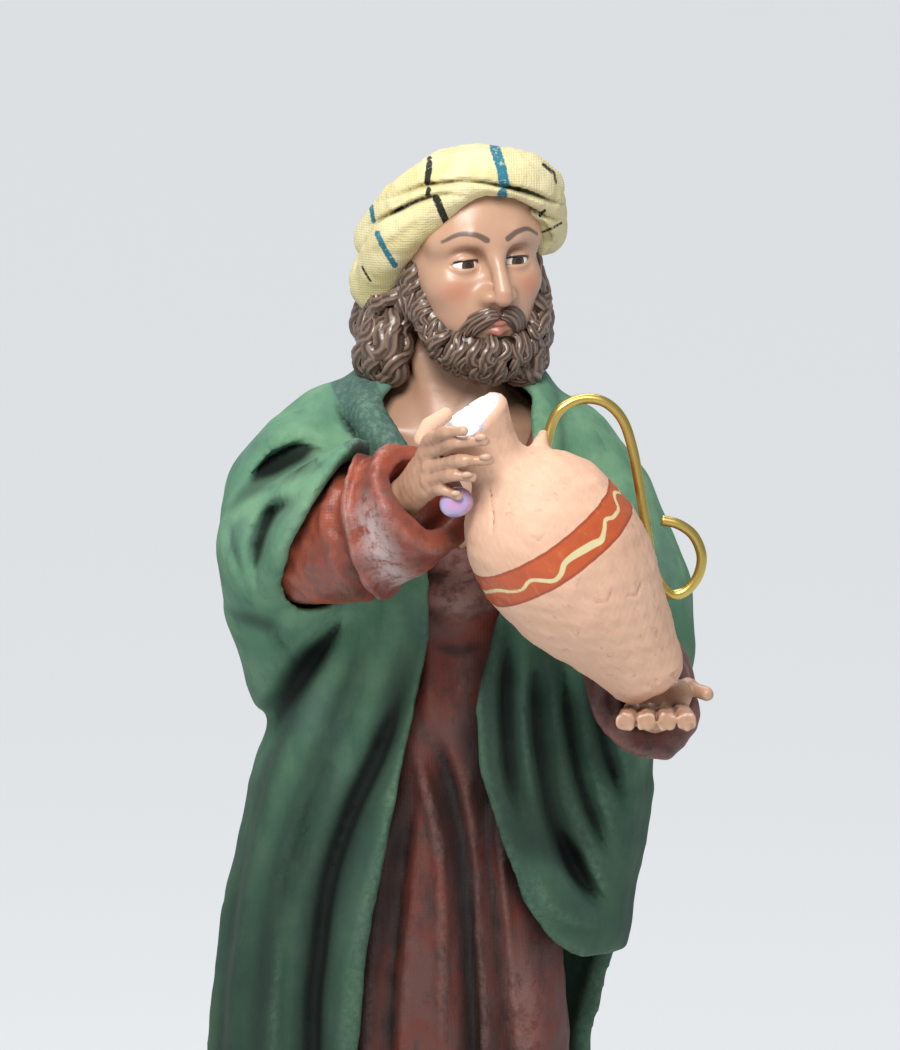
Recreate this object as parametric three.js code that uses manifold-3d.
// A painted nativity shepherd, 24 cm tall, standing on a low oval base.
// He wears a long tunic and an open cloak of cloth stiffened with glue, and holds a clay jar.
// Units are millimetres. +Z is up, the front faces -Y, and the origin is the middle of the base's underside.
// The modelled pieces are fields, functions that are negative inside. A field's zero surface becomes
// triangles on a grid, which are evened out and then simplified to the count that the piece needs.
import * as THREE from 'three';
import { mergeVertices } from 'three/addons/utils/BufferGeometryUtils.js';
import { SimplifyModifier } from 'three/addons/modifiers/SimplifyModifier.js';
import Module from 'manifold-3d';

const wasm = await Module();
wasm.setup();

// Driving dimensions
const BASE_HEIGHT = 7;
const BASE_HALF_WIDTH = 46;
const BASE_HALF_DEPTH = 34;
const BASE_BEVEL = 1.5;
const REST_GAP = 0.3; // between pieces that touch
const CUT_GAP = 0.6; // left for the simplifying that follows a cut
const CLOTH_BLEND = 6; // how softly one mass of cloth runs into the next
const TRIANGLE_STEP = 20; // added to a piece's count when simplifying it opened a seam
const SAME_PLACE = 4; // decimal places to which two vertices agree when they are one
const FOLD_FADE = [-12, 4]; // y between which the front folds die away
const JAR_LENGTH = 56.2;
const JAR_WALL = 1.8;
const JAR_MOUTH = new THREE.Vector3(6.4, -51, 205);
const JAR_FOOT = new THREE.Vector3(37.9, -39.5, 160);
const WIRE_RADIUS = 0.85;
const BEAD_RADIUS = 2.6;
const BEAD_CENTRE = [4.8, -53.4, 191.4];

// Colours, as in the paint
const GREEN = 0x2f5a41;
const OXBLOOD = 0x6b2a22;
const SKIN = 0xc79a7c;
const STRAW = 0xe6d590;
const CLAY = 0xe0a585;
const BRASS = 0xc9a640;
const LILAC = 0xc9a0c8;
const EARTH = 0x6a5443;

// Field toolkit

function smoothMin(a, b, k) {
  const h = Math.max(k - Math.abs(a - b), 0) / k;
  return Math.min(a, b) - h * h * k * 0.25;
}

// The fields joined, with fillets about k wide.
function blend(k, ...fields) {
  return (x, y, z) => fields.map((f) => f(x, y, z)).reduce((a, b) => smoothMin(a, b, k));
}

// What two fields share, with its edge rounded over k.
function shared(a, b, k) {
  return (x, y, z) => -smoothMin(-a(x, y, z), -b(x, y, z), k);
}

function cut(field, tool, k = 0.01) {
  return shared(field, (x, y, z) => -tool(x, y, z), k);
}

function grow(field, by) {
  return (x, y, z) => field(x, y, z) - by;
}

function smoothStep(low, high, value) {
  const t = THREE.MathUtils.clamp((value - low) / (high - low), 0, 1);
  return t * t * (3 - 2 * t);
}

// A rounded limb through points [x, y, z, radius].
function limb(...points) {
  return (x, y, z) => {
    let best = Infinity;
    for (let i = 0; i + 1 < points.length; i++) {
      const [ax, ay, az, ar] = points[i];
      const [bx, by, bz, br] = points[i + 1];
      const [dx, dy, dz] = [bx - ax, by - ay, bz - az];
      const along = ((x - ax) * dx + (y - ay) * dy + (z - az) * dz) / (dx * dx + dy * dy + dz * dz);
      const t = THREE.MathUtils.clamp(along, 0, 1);
      const away = Math.hypot(x - ax - dx * t, y - ay - dy * t, z - az - dz * t);
      best = Math.min(best, away - ar - (br - ar) * t);
    }
    return best;
  };
}

function egg([cx, cy, cz], [rx, ry, rz]) {
  return (x, y, z) => {
    const [px, py, pz] = [(x - cx) / rx, (y - cy) / ry, (z - cz) / rz];
    const near = Math.hypot(px, py, pz);
    return (near * (near - 1)) / Math.max(Math.hypot(px / rx, py / ry, pz / rz), 1e-6);
  };
}

// The half space behind a plane that faces the given way.
function behindPlane(point, facing) {
  const n = new THREE.Vector3(...facing).normalize();
  const offset = n.dot(new THREE.Vector3(...point));
  return (x, y, z) => n.x * x + n.y * y + n.z * z - offset;
}

// A tower of ellipses, rows [z, centre x, centre y, half width, half depth] from the bottom up.
function tower(rows) {
  const bottom = rows[0][0];
  const top = rows[rows.length - 1][0];
  return (x, y, z) => {
    let i = 0;
    while (i < rows.length - 2 && z > rows[i + 1][0]) i++;
    const [low, high] = [rows[i], rows[i + 1]];
    const rise = (z - low[0]) / (high[0] - low[0]);
    const t = 0.4 * smoothStep(0, 1, rise) + 0.6 * THREE.MathUtils.clamp(rise, 0, 1);
    const [, cx, cy, rx, ry] = low.map((v, j) => v + (high[j] - v) * t);
    const around = (Math.hypot((x - cx) / rx, (y - cy) / ry) - 1) * Math.min(rx, ry);
    return Math.max(around, bottom - z, z - top);
  };
}

// Distance in the front view from (x, z) to a path of [x, z] points.
function pathDistance(path, x, z) {
  let best = Infinity;
  for (let i = 0; i + 1 < path.length; i++) {
    const [ax, az] = path[i];
    const [dx, dz] = [path[i + 1][0] - ax, path[i + 1][1] - az];
    const t = THREE.MathUtils.clamp(((x - ax) * dx + (z - az) * dz) / (dx * dx + dz * dz), 0, 1);
    best = Math.min(best, Math.hypot(x - ax - dx * t, z - az - dz * t));
  }
  return best;
}

// Folds pressed into the front, each a path in the front view with a half width and a depth.
function frontFolds(field, folds) {
  return (x, y, z) => {
    const facing = 1 - smoothStep(FOLD_FADE[0], FOLD_FADE[1], y);
    let d = field(x, y, z);
    if (facing === 0) return d;
    for (const { path, width, depth } of folds) {
      const t = Math.min(pathDistance(path, x, z) / width, 1);
      d += depth * facing * (1 - t * t) ** 2;
    }
    return d;
  };
}

// Inside of an outline of [x, z] points in the front view, as far back as the given y.
function window2d(outline, backTo) {
  const closed = [...outline, outline[0]];
  return (x, y, z) => {
    let inside = false;
    for (let i = 0; i + 1 < closed.length; i++) {
      const [[ax, az], [bx, bz]] = [closed[i], closed[i + 1]];
      if (az > z !== bz > z && x < ((bx - ax) * (z - az)) / (bz - az) + ax) inside = !inside;
    }
    return Math.max(pathDistance(closed, x, z) * (inside ? -1 : 1), y - backTo);
  };
}

// Rounded lumps over a field, like curls.
function curly(field, size, height) {
  const turn = (2 * Math.PI) / size;
  return (x, y, z) => {
    const wave = Math.sin(turn * x + 0.6 * Math.sin(turn * z));
    return field(x, y, z) - height * wave * Math.sin(turn * y + 1) * Math.sin(turn * z * 0.8);
  };
}

// Surfacing

const CUBE_CORNERS = [0, 1, 2, 3, 4, 5, 6, 7].map((c) => [c & 1, (c >> 1) & 1, c >> 2]);
const TETRAHEDRA = [
  [0, 1, 3, 7], [0, 3, 2, 7], [0, 2, 6, 7], [0, 6, 4, 7], [0, 4, 5, 7], [0, 5, 1, 7],
];
const EDGE_MARGIN = 0.04; // keeps a vertex off the ends of its grid edge, so no triangle vanishes

// The zero surface of a field inside a box, as an indexed geometry.
function surface(field, low, high, step) {
  const size = low.map((v, i) => Math.ceil((high[i] - v) / step) + 1);
  const cornerId = (i, j, k) => i + size[0] * (j + size[1] * k);
  const place = (i, j, k) => [low[0] + i * step, low[1] + j * step, low[2] + k * step];
  const value = new Float64Array(size[0] * size[1] * size[2]);
  const positions = [];
  const faces = [];
  const made = new Map();

  const vertexOn = (a, b) => {
    const [p, q] = a.id < b.id ? [a, b] : [b, a];
    const key = p.id * value.length + q.id;
    if (!made.has(key)) {
      const t = THREE.MathUtils.clamp(p.v / (p.v - q.v), EDGE_MARGIN, 1 - EDGE_MARGIN);
      made.set(key, positions.length / 3);
      positions.push(...p.at.map((v, axis) => v + (q.at[axis] - v) * t));
    }
    return made.get(key);
  };

  const ringBetween = (inner, outer) => {
    if (inner.length === 1) return outer.map((o) => vertexOn(inner[0], o));
    if (outer.length === 1) return inner.map((n) => vertexOn(n, outer[0]));
    return [[0, 0], [0, 1], [1, 1], [1, 0]].map(([a, b]) => vertexOn(inner[a], outer[b]));
  };

  const addTetrahedron = (corners) => {
    const inner = corners.filter((c) => c.v < 0);
    const outer = corners.filter((c) => c.v >= 0);
    if (!inner.length || !outer.length) return;
    const ring = ringBetween(inner, outer);
    const [a, b, c] = ring.map((v) => new THREE.Vector3().fromArray(positions, v * 3));
    const outward = new THREE.Vector3(...outer[0].at).sub(new THREE.Vector3(...inner[0].at));
    if (b.sub(a).cross(c.sub(a)).dot(outward) < 0) ring.reverse();
    for (let n = 1; n + 1 < ring.length; n++) faces.push(ring[0], ring[n], ring[n + 1]);
  };

  const forEachCell = (counts, visit) => {
    for (let k = 0; k < counts[2]; k++)
      for (let j = 0; j < counts[1]; j++)
        for (let i = 0; i < counts[0]; i++) visit(i, j, k);
  };

  forEachCell(size, (i, j, k) => {
    value[cornerId(i, j, k)] = field(...place(i, j, k)) || 1e-9;
  });
  forEachCell(size.map((n) => n - 1), (i, j, k) => {
    const steps = CUBE_CORNERS.map(([a, b, c]) => [i + a, j + b, k + c]);
    const corners = steps.map((s) => ({ id: cornerId(...s), v: value[cornerId(...s)] }));
    const below = corners.filter((c) => c.v < 0).length;
    if (below === 0 || below === 8) return;
    corners.forEach((corner, n) => { corner.at = place(...steps[n]); });
    for (const four of TETRAHEDRA) addTetrahedron(four.map((n) => corners[n]));
  });
  return new THREE.BufferGeometry()
    .setAttribute('position', new THREE.Float32BufferAttribute(positions, 3))
    .setIndex(faces);
}

// The geometry with only its positions, and its shared vertices merged.
function bare(geometry) {
  const position = geometry.getAttribute('position').clone();
  const only = new THREE.BufferGeometry().setAttribute('position', position);
  return mergeVertices(only.setIndex(geometry.getIndex()), 1e-4);
}

function toSolid(geometry) {
  const merged = bare(geometry);
  const vertProperties = new Float32Array(merged.getAttribute('position').array);
  const triVerts = new Uint32Array(merged.getIndex().array);
  return new wasm.Manifold(new wasm.Mesh({ numProp: 3, vertProperties, triVerts }));
}

function toGeometry(solid) {
  const mesh = solid.getMesh();
  return new THREE.BufferGeometry()
    .setAttribute('position', new THREE.BufferAttribute(mesh.vertProperties, 3))
    .setIndex(new THREE.BufferAttribute(mesh.triVerts, 1));
}

// The largest body of a solid, without specks.
function mainBody(solid) {
  return solid.decompose().reduce((a, b) => (b.volume() > a.volume() ? b : a));
}

// True where just two faces meet at each edge, with vertices in one place taken as one.
function isClosed(geometry) {
  const position = geometry.getAttribute('position');
  const index = geometry.getIndex().array;
  const axes = [0, 1, 2];
  const placeOf = (v) => axes.map((axis) => position.getComponent(v, axis).toFixed(SAME_PLACE)).join();
  const uses = new Map();
  for (let i = 0; i < index.length; i += 3) {
    const ends = axes.map((j) => placeOf(index[i + j]));
    if (new Set(ends).size < 3) continue;
    ends.forEach((end, j) => {
      const edge = [end, ends[(j + 1) % 3]].sort().join();
      uses.set(edge, (uses.get(edge) || 0) + 1);
    });
  }
  return [...uses.values()].every((n) => n === 2);
}

// The closed geometry with every vertex moved outwards.
function swollen(geometry, by) {
  const out = bare(geometry);
  out.computeVertexNormals();
  const [position, normal] = [out.getAttribute('position'), out.getAttribute('normal')];
  for (let i = 0; i < position.array.length; i++) position.array[i] += normal.array[i] * by;
  return out;
}

// Evens out the steps left by the grid: each round draws vertices to their neighbours' middle and back.
function relaxed(geometry, rounds) {
  const position = geometry.getAttribute('position');
  const index = geometry.getIndex().array;
  const neighbours = Array.from({ length: position.count }, () => new Set());
  for (let i = 0; i < index.length; i += 3)
    for (let j = 0; j < 3; j++) neighbours[index[i + j]].add(index[i + ((j + 1) % 3)]);
  for (let pass = 0; pass < rounds * 2; pass++) {
    const share = pass % 2 ? -0.53 : 0.5;
    const old = Float32Array.from(position.array);
    neighbours.forEach((near, v) => {
      for (let axis = 0; axis < 3; axis++) {
        let sum = 0;
        for (const n of near) sum += old[n * 3 + axis];
        position.array[v * 3 + axis] += share * (sum / near.size - old[v * 3 + axis]);
      }
    });
  }
  return geometry;
}

async function simplified(geometry, triangles) {
  const count = geometry.getAttribute('position').count;
  return new SimplifyModifier().modify(geometry, Math.max(0, count - triangles / 2));
}

async function sculpt(field, { low, high, step, triangles, rounds = 2 }) {
  const fine = toGeometry(mainBody(toSolid(surface(field, low, high, step))));
  return simplified(relaxed(fine, rounds), triangles);
}

// Tunic

const TUNIC_ROWS = [
  [BASE_HEIGHT + REST_GAP, -4, -1, 30, 22.5],
  [45, -3, -1, 27.5, 21],
  [92, 0, -1, 24.5, 19],
  [120, 2, -1, 20.5, 16.5],
  [148, 4, -1, 17.5, 14],
  [160, 5, -1, 15.5, 12.5],
  [172, 4.5, -1, 18, 14.5],
  [188, 4, 0, 20, 14.5],
  [199, 3.5, 1, 19, 12],
  [206, 3.5, 1, 11, 9],
  [211, 3.5, 1, 4, 4],
];
const NECK_OPENING = [
  [-12, 210], [-8, 202], [-3, 193], [2, 183], [6, 179], [11, 184], [16, 194], [20, 204], [12, 216],
  [-3, 216],
];
const TUNIC_FOLDS = [
  {
    path: [[-2.7, 147], [0.5, 137], [3.9, 129], [6.1, 115], [7.3, 95], [8, 60], [8, 10]],
    width: 2.6,
    depth: 2.6,
  },
  { path: [[10, 146], [9.5, 130], [12, 110], [15, 80], [17, 40], [18, 8]], width: 3, depth: 2 },
  { path: [[-2, 140], [-5, 120], [-6, 95], [-7, 60], [-9, 10]], width: 2.6, depth: 1.8 },
  { path: [[20, 108], [23, 80], [25, 40], [26, 8]], width: 2.6, depth: 1.8 },
  { path: [[-6, 161], [5, 158], [18, 161]], width: 2.2, depth: 1.3 },
];
const RIGHT_CUFF = { at: [-0.3, -42, 192.4], facing: [0.6, -0.67, 0.43] };
const RIGHT_ARM = [
  [-14, 0, 194, 8], [-21, -10, 183, 8], [-20.5, -17, 179.5, 8.6], [-12, -29, 183.5, 10.4],
  [-0.3, -42, 191.4, 10], [4, -47, 194, 10],
];
const LEFT_CUFF = { at: [36, -30.5, 156.4], facing: [-0.08, -0.95, 0.3] };
const LEFT_ARM = [
  [20, 2, 193, 7.6], [28, 2, 178, 7.6], [34, 0, 162, 8], [35.6, -14, 158.8, 8.4],
  [35.6, -30, 157, 8.4], [35.6, -36, 156.6, 8.4],
];
const LEFT_CUFF_DROOP = [[34, -16, 157.4, 6], [38.4, -31, 153.6, 6.4], [38.6, -36, 153, 6.4]];

// A sleeve is a limb cut off square at its cuff, with a recess for the wrist.
function sleeve(cuff, arm, recess) {
  const outwards = new THREE.Vector3(...cuff.facing).normalize();
  const mouth = new THREE.Vector3(...cuff.at);
  const mouthOuter = mouth.clone().addScaledVector(outwards, 8);
  const mouthInner = mouth.clone().addScaledVector(outwards, -9);
  const hollow = limb([...mouthInner, recess * 0.8], [...mouth, recess], [...mouthOuter, recess * 1.2]);
  return cut(shared(limb(...arm), behindPlane(cuff.at, cuff.facing), 2), hollow, 1);
}

const neckWindow = window2d(NECK_OPENING, -1);
const tunicTorso = cut(frontFolds(tower(TUNIC_ROWS), TUNIC_FOLDS), neckWindow);
const rightSleeve = sleeve(RIGHT_CUFF, RIGHT_ARM, 7);
const leftSleeve = blend(3, sleeve(LEFT_CUFF, LEFT_ARM, 6.2), sleeve(LEFT_CUFF, LEFT_CUFF_DROOP, 4));
const tunicField = blend(2, tunicTorso, rightSleeve, leftSleeve);

// Head, beard and hair, with the neck and the chest in the open neck of the tunic

const HEAD_CENTRE = new THREE.Vector3(6.2, -4, 228);
const [HEAD_NOD, HEAD_ROLL, HEAD_YAW] = [4, -3, 22].map(THREE.MathUtils.degToRad);
const HEAD_TURN = new THREE.Euler(HEAD_NOD, HEAD_ROLL, HEAD_YAW, 'ZYX');
const HEAD_AXES = [0, 1, 2].map((i) => new THREE.Vector3().setComponent(i, 1).applyEuler(HEAD_TURN));

// A field in the head's own axes: x to its left side, -y out of its face, z up, from its middle.
function onHead(field) {
  const p = new THREE.Vector3();
  return (x, y, z) => {
    p.set(x, y, z).sub(HEAD_CENTRE);
    return field(...HEAD_AXES.map((axis) => axis.dot(p)));
  };
}

const face = blend(
  1.6,
  egg([0, 1, 1.5], [12, 15, 15.5]),
  egg([0, -4.5, 6], [10.5, 9.8, 9.5]),
  egg([0, -5.4, -7], [9.6, 9.4, 10]),
  limb([0, -14, 2, 1.2], [0, -17, -4.4, 1.9]),
);
const jawBeard = limb([-9.6, -2, -3, 2.4], [-7, -8.5, -11, 4], [7, -8.5, -11, 4], [9.6, -2, -3, 2.4]);
const beard = curly(blend(2, egg([0, -9, -11.6], [9, 7.4, 7.2]), jawBeard), 4.6, 1);
const neck = limb([5, -1, 214, 7.4], [4.5, -1, 198, 8.4]);
const chest = shared(grow(tower(TUNIC_ROWS), -0.9), neckWindow, 0.01);
const hair = curly(
  blend(
    3,
    limb([-5, -3, 228, 4], [-5.5, -4, 219, 5], [-6.4, -4, 211, 5.6]),
    limb([18.6, -6, 226, 3], [18, -8, 218, 4.4], [17, -10, 211, 4.4]),
    limb([-4, 3, 216, 8], [4, 8, 214, 8], [14, 2, 216, 7]),
  ),
  4.8,
  1,
);
const bustField = blend(1.2, onHead(face), onHead(beard), neck, chest, hair);

// Turban: a crown wrapped in crossed rolls of cloth, tipped down to the right side of the head

const TURBAN_ROLLS = [
  [
    [-8.8, -3, 222.6, 4], [-6.6, -10, 229, 4.2], [-3.4, -14.4, 233.6, 4], [0.8, -16.6, 237.4, 3.8],
    [4.6, -17.8, 240.4, 3.4], [8.6, -18, 242, 3],
  ],
  [
    [6, -18, 242, 3], [10, -18, 242.3, 3.2], [14.4, -16.2, 242, 3.4], [18.2, -12.4, 240, 3.6],
    [19.6, -7, 236.8, 3.8], [19.6, -1, 233.6, 4.2],
  ],
  [
    [-7.2, -3, 231, 5], [-3, -11, 237.6, 4.4], [3.6, -15.4, 242, 3.8], [10, -16, 243.6, 3.4],
    [16, -12, 242.6, 3.6], [19.2, -5, 239.6, 4],
  ],
  [
    [-8.8, -3, 222.6, 4], [-8.6, 4, 224.4, 4.6], [-5, 12, 227, 5], [5, 15, 229, 5],
    [14.6, 11, 231, 4.8], [19.4, 0, 232.4, 4.4],
  ],
];
const turbanCrown = blend(
  1,
  egg([8.4, -2, 235.4], [14.6, 16, 11.6]),
  egg([3, 1, 231.6], [12.6, 15.4, 10.4]),
);
const turbanField = blend(1, turbanCrown, ...TURBAN_ROLLS.map((roll) => limb(...roll)));

// Hands: the right steadies the neck of the jar, the left is held flat under its foot

function hand(...limbs) {
  return blend(0.8, ...limbs.map((points) => limb(...points)));
}

const rightHand = hand(
  [[-7, -35.5, 187.5, 3], [-3.4, -42, 191.4, 3.2]],
  [[-3.4, -42, 192.6, 2.2], [0.4, -50, 199.4, 1.5]],
  [[-3.4, -42.5, 191.4, 2.4], [0.8, -51, 197.4, 1.6]],
  [[-3.2, -42.5, 190.6, 2.2], [0.6, -51, 195.2, 1.5]],
  [[-3.4, -42, 190, 2], [0.2, -49.6, 193.2, 1.3]],
  [[0.4, -50, 199.4, 1.2], [4.4, -57.6, 202, 1.15], [9.2, -60, 202.6, 0.95]],
  [[0.8, -51, 197.4, 1.25], [5.4, -58, 199.2, 1.15], [10, -58.8, 199.4, 0.95]],
  [[0.6, -51, 195.2, 1.2], [4.2, -57, 196.8, 1.1], [7, -58.4, 196.6, 0.9]],
  [[0.2, -49.6, 193.2, 1.1], [2.6, -54.6, 194.2, 1], [5, -56.4, 193.4, 0.85]],
  [[-2, -44, 195, 1.6], [0.6, -51, 201.6, 1.4], [3.2, -57.6, 203.8, 1.1], [6.2, -60, 204.2, 0.9]],
);

const LEFT_FINGER_ROOTS = [34.2, 36.7, 39.2, 41.7];
const LEFT_FINGER_TIPS = [32.4, 35.7, 39.1, 42.4];
const leftHand = hand(
  [[37.2, -24, 156, 3.4], [37.6, -33, 154.9, 3.6]],
  [[35, -33, 154.9, 2.4], [41, -33, 157.4, 2.8]],
  [[40, -29, 156.2, 1.9], [43, -31.5, 158.8, 1.6], [46.2, -34, 157.8, 1.3]],
  ...LEFT_FINGER_ROOTS.map((root, i) => {
    const tip = LEFT_FINGER_TIPS[i];
    return [[root, -33, 154.6, 1.7], [(root + tip) / 2, -39.5, 155.2, 1.6], [tip, -46.5, 155.4, 1.55]];
  }),
);

// Cloak

const CLOAK_ROWS = [
  [13, -6, 1, 37, 28],
  [50, -6, 1, 36, 26.5],
  [92, -5, 1, 34.5, 24.5],
  [112, -1.5, 1, 36, 24],
  [136, 3, 1, 35, 22.5],
  [150, 4, 1, 31.5, 21],
  [165, 4, 1, 29, 20],
  [185, 3.5, 1, 27, 18.5],
  [198, 3, 1.5, 23, 15],
  [206, 3.5, 3, 14, 11.5],
  [211, 4, 5, 8, 8],
];
const CLOAK_OPENING = [
  [2, 216], [-7.5, 204], [-3.5, 198], [0.4, 189], [0.4, 164.6], [-3.7, 145.4], [-7.5, 126], [-10.1, 112],
  [-11.5, 95.8], [-13, 60], [-14, 0], [60, 0], [60, 103], [36.5, 107], [31, 108.3], [24.8, 109.8],
  [20.4, 113.5], [16, 120.7], [12.1, 131.6], [8.8, 142.5], [8.3, 153.6], [10.8, 164.6], [15, 180],
  [17.5, 197], [17.2, 205],
];
const CLOAK_FOLDS = [
  {
    path: [
      [-12.3, 171.4], [-15.6, 165], [-20.4, 156], [-26.2, 146], [-29.4, 133.6], [-33.5, 121],
      [-36.5, 108], [-38, 93], [-39, 50], [-40, 13],
    ],
    width: 2.6,
    depth: 3.2,
  },
  {
    path: [
      [-3, 170], [-3.6, 160], [-5, 152], [-8, 144], [-11.3, 136], [-14, 127], [-16.8, 116],
      [-18.4, 105.7], [-19.2, 95], [-20, 50], [-21, 13],
    ],
    width: 3,
    depth: 3.4,
  },
  {
    path: [[-12.5, 154], [-21.3, 130], [-28.4, 104], [-29.8, 90], [-31, 40], [-31, 13]],
    width: 6,
    depth: 1.5,
  },
  { path: [[13.5, 166], [12.8, 145.7]], width: 2.4, depth: 2.6 },
  { path: [[18.1, 165], [18.1, 151.5], [20.3, 139], [24.7, 127], [31, 117]], width: 3, depth: 3 },
  { path: [[24.7, 162], [24.7, 154], [27.9, 142.5], [33.5, 130]], width: 2.8, depth: 2.4 },
  { path: [[-30.1, 189.6], [-26.5, 192.2], [-22.3, 194.8], [-17.8, 197.1]], width: 2.6, depth: 5 },
  { path: [[-32, 187], [-33, 181], [-31.2, 175], [-28.6, 171]], width: 1.8, depth: 2.4 },
  { path: [[-22.2, 189.4], [-24.2, 187.3], [-26.1, 183.2], [-27.8, 178.9]], width: 2.2, depth: 3.6 },
  { path: [[-16, 205.4], [-14.9, 201.9], [-11.8, 198.9], [-6.9, 196.2]], width: 2, depth: 2.2 },
];
const BACK_PLEATS = 9;
const PLEAT_DEPTH = 1.9;
const SLEEVE_COVER = { at: [-15.5, -30, 189.5], facing: [0.8, -0.3, -0.52], thickness: 2.4 };

// Pleats round the back, deeper towards the hem.
function backPleats(field) {
  return (x, y, z) => {
    const around = Math.atan2(x - 1, y);
    const strength = smoothStep(-3, 6, y) * (1 - 0.8 * smoothStep(120, 200, z));
    const wave = Math.cos(BACK_PLEATS * (around + 0.18 * Math.sin(2 * around)) + z * 0.012);
    return field(x, y, z) + PLEAT_DEPTH * strength * wave;
  };
}

const rightDrape = limb(
  [-15, 2, 195, 10.5], [-22, -8, 187, 12.4], [-23, -15, 180, 12.4], [-24, -8, 170, 10.6], [-22, -2, 158, 9],
);
const leftDrape = limb(
  [22, 2, 193, 10], [27.5, 2, 184, 11.5], [32.4, 0, 170, 12.6], [34, -3, 161, 11.8], [30, -2, 150, 9],
);
const collar = limb(
  [-4, -15, 195, 3.4], [-8, -9, 202, 3.8], [-7, 2, 207, 4], [4, 9, 209.5, 4], [15, 2, 207, 4],
  [18, -8, 203, 3.6], [18.5, -13, 196, 3.4],
);
const cloakMass = blend(CLOTH_BLEND, tower(CLOAK_ROWS), rightDrape, leftDrape, collar);
const forearmCover = shared(
  grow(limb(...RIGHT_ARM), SLEEVE_COVER.thickness),
  behindPlane(SLEEVE_COVER.at, SLEEVE_COVER.facing),
  2,
);
const cloakField = cut(
  blend(2.5, frontFolds(backPleats(cloakMass), CLOAK_FOLDS), forearmCover),
  window2d(CLOAK_OPENING, 5),
  1.6,
);

// Sandalled feet, under the front of the tunic

function foot(x, turn) {
  const toe = x + turn;
  const sole = (px, py, pz) => Math.max(
    (Math.hypot((px - toe) / 5.6, (py + 19) / 13) - 1) * 5,
    BASE_HEIGHT + REST_GAP - pz,
    pz - BASE_HEIGHT - 1.8,
  );
  return blend(
    1,
    limb([x, -14, BASE_HEIGHT + 4, 3.6], [toe, -27, BASE_HEIGHT + 2.8, 2.6]),
    limb([x + 2, -14, BASE_HEIGHT + 3, 2.6], [toe + 2.8, -26, BASE_HEIGHT + 2.4, 2]),
    sole,
  );
}

// Jar: a hollow vessel turned about its own axis, rows [radius, height] up from its foot

const JAR_OUTSIDE = [
  [0, 0], [3.6, 0], [5.5, 0.8], [6.5, 2.6], [7.8, 6.8], [11.9, 17.9], [13.3, 23.9], [13.95, 29.5],
  [13.1, 35.8], [11.6, 39.3], [9.2, 42.7], [6.6, 45], [5.2, 47.4], [5.5, 50.6], [7.2, 55.2], [7, JAR_LENGTH],
];
const JAR_INSIDE = [
  [5.8, 55.4], [4.2, 51], [3.8, 46.5], [10.4, 38.5], [12.2, 29.5], [10.2, 17.9], [5.6, 4], [0, JAR_WALL],
];
function jarGeometry() {
  const profile = [...JAR_OUTSIDE, ...JAR_INSIDE].map(([r, h]) => new THREE.Vector2(r, h));
  const axis = JAR_MOUTH.clone().sub(JAR_FOOT).normalize();
  return new THREE.LatheGeometry(profile, 24)
    .applyQuaternion(new THREE.Quaternion().setFromUnitVectors(new THREE.Vector3(0, 1, 0), axis))
    .translate(...JAR_FOOT);
}

// Its handle is one bent wire: a tall arch down the side of the jar that ends in a small scroll

const HANDLE_ROUTE = [
  [19.2, -42.6, 198], [20.3, -42, 203.2], [22.1, -42, 206.1], [25.5, -41.4, 207.5], [29.1, -41.2, 206.9],
  [31.9, -41, 204.1], [33.6, -40.8, 199.2], [34.8, -40.8, 192.7], [35.9, -40.8, 186.1], [36.8, -40.2, 180.7],
  [38.1, -39.6, 177.2], [40, -39.2, 175.2], [42.4, -39, 175.7], [44.4, -39, 178.2], [45, -39, 181.5],
  [43.7, -39, 184.8], [41.2, -39, 186.7], [38.4, -39, 187.4],
];
function wireGeometry() {
  const points = HANDLE_ROUTE.map((p) => new THREE.Vector3(...p));
  const route = new THREE.CatmullRomCurve3(points, false, 'centripetal');
  const section = new THREE.Shape().absarc(0, 0, WIRE_RADIUS, 0, Math.PI * 2);
  return new THREE.ExtrudeGeometry(section, { steps: 32, curveSegments: 4, extrudePath: route });
}

function beadGeometry() {
  return new THREE.SphereGeometry(BEAD_RADIUS, 12, 8).translate(...BEAD_CENTRE);
}

function baseGeometry() {
  const [halfWidth, halfDepth] = [BASE_HALF_WIDTH - BASE_BEVEL, BASE_HALF_DEPTH - BASE_BEVEL];
  const oval = new THREE.Shape().absellipse(0, 0, halfWidth, halfDepth, 0, Math.PI * 2);
  return new THREE.ExtrudeGeometry(oval, {
    depth: BASE_HEIGHT - 2 * BASE_BEVEL,
    curveSegments: 14,
    bevelSize: BASE_BEVEL,
    bevelThickness: BASE_BEVEL,
    bevelSegments: 1,
  }).translate(0, 0, BASE_BEVEL);
}

// Assembly

const figure = new THREE.Group();
const placed = [];

function clearOfPlaced(geometry, gap) {
  const solid = placed.reduce((body, other) => body.subtract(toSolid(swollen(other, gap))), toSolid(geometry));
  return toGeometry(mainBody(solid));
}

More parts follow.
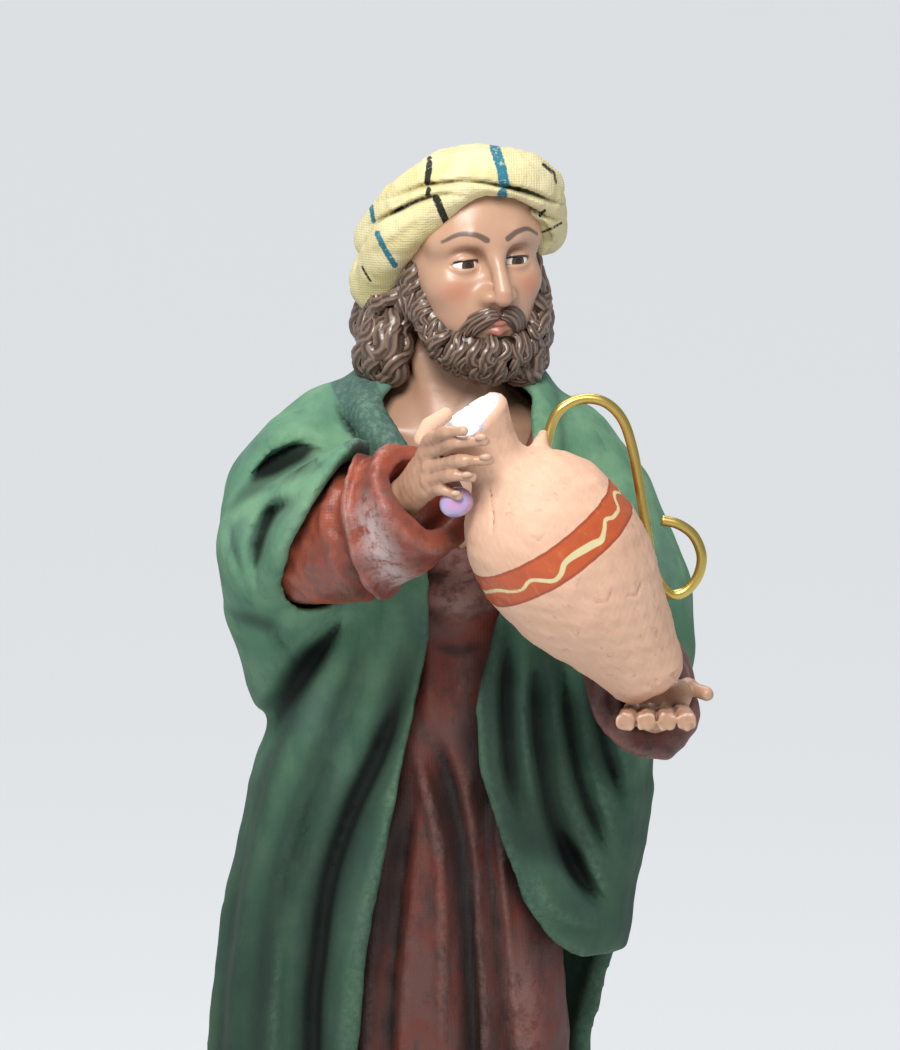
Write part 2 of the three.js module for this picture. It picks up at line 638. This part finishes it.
// Adds a piece, cut clear of those already placed. If it has a count of triangles, it is brought down to
// about that many and cut clear again, with a few more each time that the result isn't closed.
async function place(name, geometry, colour, roughness, { metalness = 0, triangles = 0 } = {}) {
  let finished = clearOfPlaced(geometry, triangles ? CUT_GAP : REST_GAP);
  if (triangles) {
    const full = finished;
    let count = triangles;
    do {
      finished = clearOfPlaced(await simplified(bare(full), count), REST_GAP);
      count += TRIANGLE_STEP;
    } while (!isClosed(finished));
  }
  placed.push(finished);
  const shown = finished.toNonIndexed();
  shown.computeVertexNormals();
  const paint = new THREE.MeshStandardMaterial({ color: colour, roughness, metalness });
  const mesh = new THREE.Mesh(shown, paint);
  mesh.name = name;
  figure.add(mesh);
}

const rightHandMesh = await sculpt(rightHand, {
  low: [-12, -62, 182], high: [14, -30, 208], step: 0.5, triangles: 500,
});
const leftHandMesh = await sculpt(leftHand, {
  low: [28, -52, 148], high: [52, -18, 164], step: 0.55, triangles: 500,
});
const bustMesh = await sculpt(bustField, {
  low: [-16, -30, 176], high: [30, 18, 250], step: 1, triangles: 2400,
});
const turbanMesh = await sculpt(turbanField, {
  low: [-18, -28, 214], high: [30, 26, 250], step: 1, triangles: 1600,
});
const rightFootMesh = await sculpt(foot(-12, -1.5), {
  low: [-22, -36, 6], high: [0, -6, 18], step: 0.8, triangles: 160,
});
const leftFootMesh = await sculpt(foot(8, 2.5), {
  low: [-2, -36, 6], high: [22, -6, 18], step: 0.8, triangles: 160,
});
const tunicMesh = await sculpt(tunicField, {
  low: [-40, -60, 4], high: [54, 32, 216], step: 1.5, triangles: 3200, rounds: 6,
});
const cloakMesh = await sculpt(cloakField, {
  low: [-54, -42, 8], high: [60, 40, 224], step: 1.5, triangles: 4800, rounds: 6,
});

await place('oval_base', baseGeometry(), EARTH, 0.8);
await place('clay_jar', jarGeometry(), CLAY, 0.75);
await place('wire_handle', wireGeometry(), BRASS, 0.3, { metalness: 1 });
await place('right_hand', rightHandMesh, SKIN, 0.45, { triangles: 400 });
await place('left_hand', leftHandMesh, SKIN, 0.45, { triangles: 400 });
await place('lilac_bead', beadGeometry(), LILAC, 0.2);
await place('head_and_neck', bustMesh, SKIN, 0.4, { triangles: 1400 });
await place('turban', turbanMesh, STRAW, 0.8, { triangles: 900 });
await place('right_foot', rightFootMesh, SKIN, 0.5);
await place('left_foot', leftFootMesh, SKIN, 0.5);
await place('tunic', tunicMesh, OXBLOOD, 0.6, { triangles: 1250 });
await place('cloak', cloakMesh, GREEN, 0.7, { triangles: 2100 });

export default figure;
